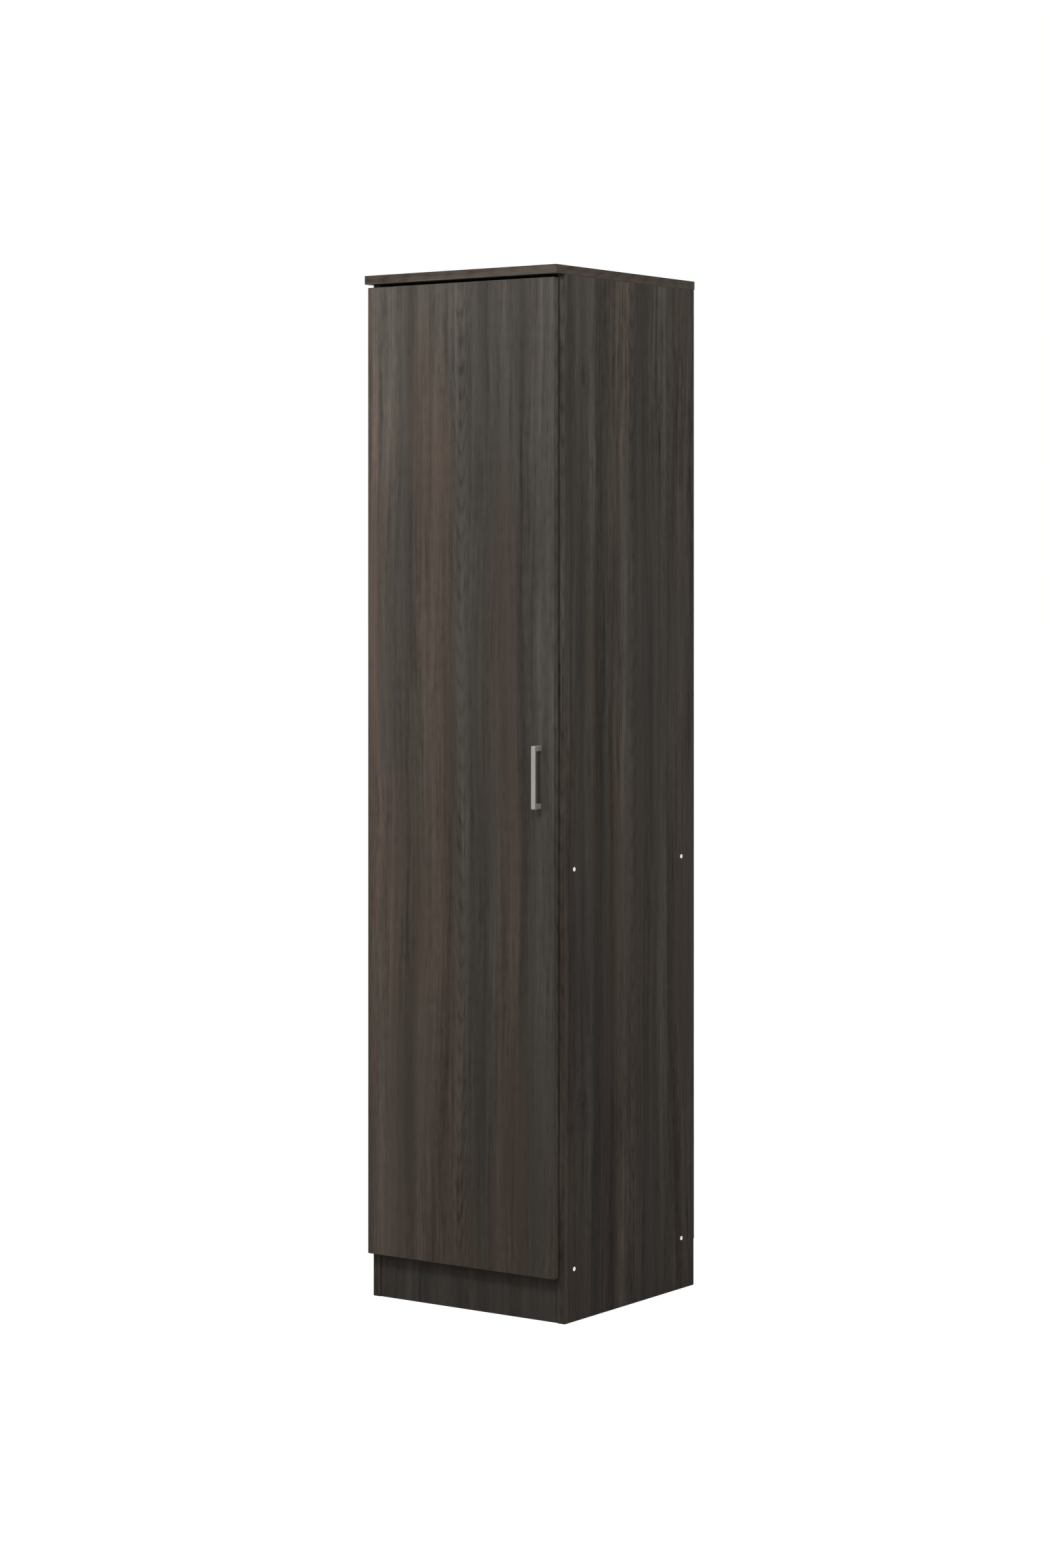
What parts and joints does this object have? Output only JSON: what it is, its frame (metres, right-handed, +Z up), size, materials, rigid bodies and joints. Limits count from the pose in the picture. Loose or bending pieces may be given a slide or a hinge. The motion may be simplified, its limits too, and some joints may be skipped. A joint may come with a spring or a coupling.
{
  "type": "wardrobe",
  "caption": "Tall narrow wardrobe in dark wood-grain laminate: one full-height overlay door on concealed hinges, square bow handle, overhanging top, plinth, rail and shelves.",
  "frame": {"origin": "floor level, at the centre of the whole wardrobe's outline seen from above, handle included", "axes": "+Z up, +X to the right seen from the front, -Y out of the front, where the door and handle are"},
  "size_m": [0.4, 0.433, 1.75],
  "materials": {
    "laminate": "dark espresso wood-grain laminate, vertical grain, low sheen",
    "hardboard": "brown hardboard, smooth inside, rough outside",
    "rail_tube": "chromed steel tube",
    "clear_plastic": "off-white plastic",
    "bumper": "soft translucent pads",
    "beech": "plain fluted beech",
    "brushed_nickel": "brushed nickel",
    "hinge_steel": "nickel-plated pressed steel",
    "zinc": "bright zinc plating"
  },
  "bodies": {
    "cabinet": {"side_panel_left": "laminate", "side_panel_right": "laminate", "top_panel": "laminate", "bottom_panel": "laminate", "middle_shelf": "laminate", "plinth_board": "laminate", "back_rail": "laminate", "back_panel_upper": "hardboard", "back_panel_lower": "hardboard", "back_nails": "zinc", "hanging_rail": "rail_tube", "rail_socket_left": "zinc", "rail_socket_right": "zinc", "rail_socket_screws": "zinc", "adjustable_shelf": "laminate", "shelf_pins": "clear_plastic", "side_screws_left": "zinc", "side_screws_right": "zinc", "cam_discs": "zinc", "cam_bolts": "zinc", "dowels": "beech", "hinge_plates": "hinge_steel", "hinge_plate_screws": "zinc", "hinge_arms": "hinge_steel", "hinge_arm_screws": "zinc", "hinge_arm_pins": "zinc"},
    "hinge_links": {"hinge_links": "hinge_steel"},
    "door": {"door_panel": "laminate", "hinge_cups": "hinge_steel", "hinge_cup_screws": "zinc", "hinge_cup_pins": "zinc", "handle": "brushed_nickel", "handle_screws": "zinc", "door_bumpers": "bumper"}
  },
  "joints": [
    {"name": "hinge_link_turn", "type": "hinge", "parent": "cabinet", "child": "hinge_links", "pos_m": [-0.167, -0.19145, 0.9], "axis": [0, 0, -1], "range_deg": [-49.8, 0]},
    {"name": "door_swing", "type": "hinge", "parent": "hinge_links", "child": "door", "pos_m": [-0.18655, -0.18495, 0.9], "axis": [0, 0, -1], "range_deg": [0, 154.8]}
  ],
  "couplings": [
    {"joint": "hinge_link_turn", "follows": "door_swing", "ratio": -0.32157}
  ]
}
